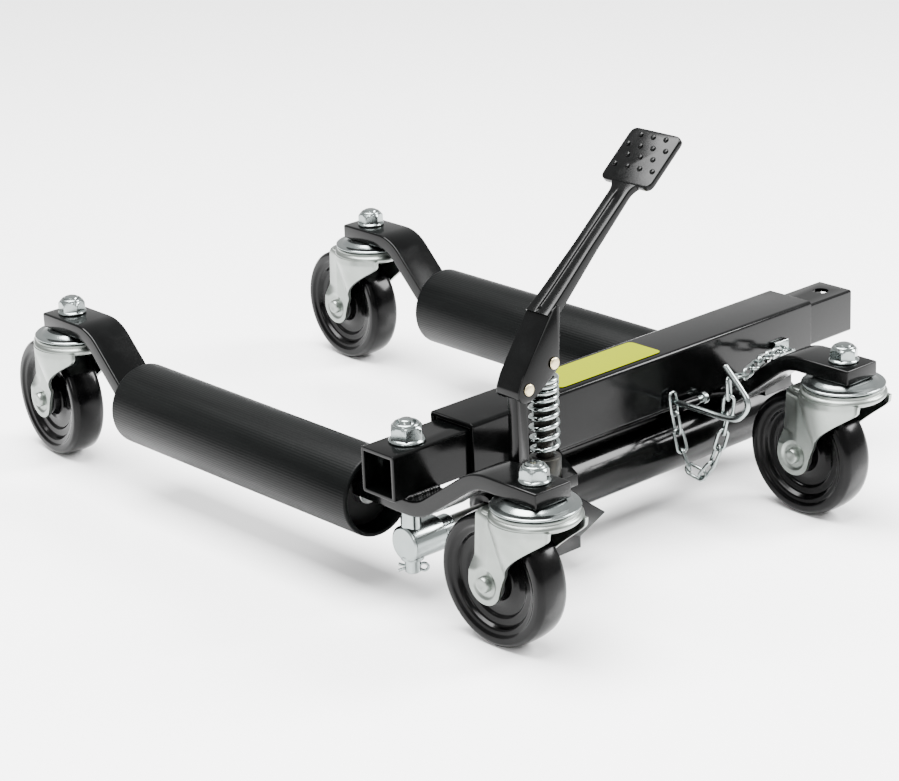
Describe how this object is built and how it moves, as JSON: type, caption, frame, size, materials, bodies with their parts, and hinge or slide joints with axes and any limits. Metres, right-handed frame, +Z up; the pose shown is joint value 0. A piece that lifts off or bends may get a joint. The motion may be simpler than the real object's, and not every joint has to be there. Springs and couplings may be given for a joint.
{
  "type": "hydraulic wheel dolly",
  "caption": "Foot pumped wheel dolly: telescoping frame on swivel casters that squeezes and lifts a tyre between two ribbed rollers.",
  "frame": {"origin": "middle of the footprint on the floor, under the wheels", "axes": "+X along the telescoping tube towards the fixed roller, +Y along the rollers away from the pump side, +Z up"},
  "size_m": [0.504, 0.6612, 0.33],
  "materials": {
    "gloss_black": "gloss black powder coat",
    "roller_black": "satin black, finely ribbed lengthwise",
    "wheel_black": "glossy black resin",
    "bright_zinc": "bright zinc plate",
    "yellow_zinc": "pale yellow zinc plate",
    "bare_steel": "oiled machined steel",
    "nylon": "black nylon",
    "label_yellow": "plain yellow film label"
  },
  "bodies": {
    "root": {"pump_block": "gloss_black", "return_spring": "bright_zinc", "pin_chain": "bright_zinc", "ram_gland": "bare_steel", "near_right_stem": "bright_zinc", "far_right_stem": "bright_zinc", "ram_cylinder": "gloss_black", "outer_sleeve": "gloss_black", "slide_liner_left": "nylon", "slide_liner_right": "nylon", "near_right_stem_nut": "bright_zinc", "far_right_stem_nut": "bright_zinc", "pump_barrel": "bare_steel", "sleeve_lug_bolt": "bright_zinc", "link_foot_pin": "yellow_zinc", "label_plate": "label_yellow", "near_arm_right": "gloss_black", "far_arm_right": "gloss_black", "roller_shaft_right": "bare_steel", "chain_anchor": "bright_zinc", "ram_saddle": "gloss_black", "sleeve_strip": "gloss_black"},
    "carriage": {"inner_tube": "gloss_black", "rod_end": "bright_zinc", "near_left_stem": "bright_zinc", "far_left_stem": "bright_zinc", "near_left_stem_nut": "bright_zinc", "far_left_stem_nut": "bright_zinc", "arm_pin_nut": "bright_zinc", "arm_pin": "bright_zinc", "near_arm_left": "gloss_black", "ram_rod": "bare_steel", "far_arm_left": "gloss_black", "roller_shaft_left": "bare_steel", "cotter_pin": "bright_zinc"},
    "near_left_swivel": {"near_left_fork": "bright_zinc", "near_left_axle": "bright_zinc"},
    "near_left_wheel_set": {"near_left_wheel": "wheel_black"},
    "near_right_swivel": {"near_right_fork": "bright_zinc", "near_right_axle": "bright_zinc"},
    "near_right_wheel_set": {"near_right_wheel": "wheel_black"},
    "far_left_swivel": {"far_left_fork": "bright_zinc", "far_left_axle": "bright_zinc"},
    "far_left_wheel_set": {"far_left_wheel": "wheel_black"},
    "far_right_swivel": {"far_right_fork": "bright_zinc", "far_right_axle": "bright_zinc"},
    "far_right_wheel_set": {"far_right_wheel": "wheel_black"},
    "roller_set_left": {"roller_left": "roller_black", "roller_bush_near_left": "nylon", "roller_bush_far_left": "nylon"},
    "roller_set_right": {"roller_right": "roller_black", "roller_bush_near_right": "nylon", "roller_bush_far_right": "nylon"},
    "link": {"pedal_link": "gloss_black"},
    "pedal": {"foot_pedal": "gloss_black", "pedal_pivot_pin": "yellow_zinc", "plunger_pin": "yellow_zinc"},
    "plunger": {"pump_plunger": "bright_zinc"},
    "lock_pin": {"lock_pin": "bright_zinc"},
    "release_valve": {"release_lever": "gloss_black"}
  },
  "joints": [
    {"name": "frame_slide", "type": "slide", "parent": "root", "child": "carriage", "axis": [-1, 0, 0], "range_m": [0, 0.24]},
    {"name": "near_left_swivel_turn", "type": "hinge", "parent": "carriage", "child": "near_left_swivel", "pos_m": [-0.21901, -0.29758, 0.11], "axis": [0, 0, 1], "continuous": true},
    {"name": "near_left_wheel_spin", "type": "hinge", "parent": "near_left_swivel", "child": "near_left_wheel_set", "pos_m": [-0.22016, -0.2646, 0.05], "axis": [-0.9994, -0.0349, 0], "continuous": true},
    {"name": "near_right_swivel_turn", "type": "hinge", "parent": "root", "child": "near_right_swivel", "pos_m": [0.10399, -0.29758, 0.11], "axis": [0, 0, 1], "continuous": true},
    {"name": "near_right_wheel_spin", "type": "hinge", "parent": "near_right_swivel", "child": "near_right_wheel_set", "pos_m": [0.10399, -0.26458, 0.05], "axis": [-1, 0, 0], "continuous": true},
    {"name": "far_left_swivel_turn", "type": "hinge", "parent": "carriage", "child": "far_left_swivel", "pos_m": [-0.21901, 0.24742, 0.11], "axis": [0, 0, 1], "continuous": true},
    {"name": "far_left_wheel_spin", "type": "hinge", "parent": "far_left_swivel", "child": "far_left_wheel_set", "pos_m": [-0.21556, 0.28024, 0.05], "axis": [-0.9945, 0.1045, 0], "continuous": true},
    {"name": "far_right_swivel_turn", "type": "hinge", "parent": "root", "child": "far_right_swivel", "pos_m": [0.10399, 0.24742, 0.11], "axis": [0, 0, 1], "continuous": true},
    {"name": "far_right_wheel_spin", "type": "hinge", "parent": "far_right_swivel", "child": "far_right_wheel_set", "pos_m": [0.10572, 0.28037, 0.05], "axis": [-0.9986, 0.0523, 0], "continuous": true},
    {"name": "roller_left_spin", "type": "hinge", "parent": "carriage", "child": "roller_set_left", "pos_m": [-0.21901, 0.01242, 0.074], "axis": [0, 1, 0], "continuous": true},
    {"name": "roller_right_spin", "type": "hinge", "parent": "root", "child": "roller_set_right", "pos_m": [0.10399, 0.01242, 0.074], "axis": [0, 1, 0], "continuous": true},
    {"name": "pedal_press", "type": "hinge", "parent": "link", "child": "pedal", "pos_m": [-0.18601, -0.24758, 0.1775], "axis": [0, 1, 0], "range_deg": [0, 32], "stiffness_Nm_per_rad": 2, "springref_deg": -34.38},
    {"name": "link_lean", "type": "hinge", "parent": "root", "child": "link", "pos_m": [-0.18601, -0.24758, 0.113], "axis": [0, 1, 0], "range_deg": [-3.5, 0.5]},
    {"name": "plunger_stroke", "type": "slide", "parent": "root", "child": "plunger", "axis": [0, 0, -1], "range_m": [0, 0.016], "deforming": ["return_spring"]},
    {"name": "lock_pin_pull", "type": "slide", "parent": "root", "child": "lock_pin", "axis": [0, -1, 0], "range_m": [0, 0.05]},
    {"name": "release_press", "type": "hinge", "parent": "root", "child": "release_valve", "pos_m": [-0.09901, -0.21258, 0.04], "axis": [0, 1, 0], "range_deg": [0, 30], "stiffness_Nm_per_rad": 0.5, "springref_deg": -17.19}
  ],
  "couplings": [
    {"joint": "plunger_stroke", "follows": "pedal_press", "m_per_rad": 0.0273},
    {"joint": "link_lean", "follows": "pedal_press", "ratio": -0.085}
  ]
}
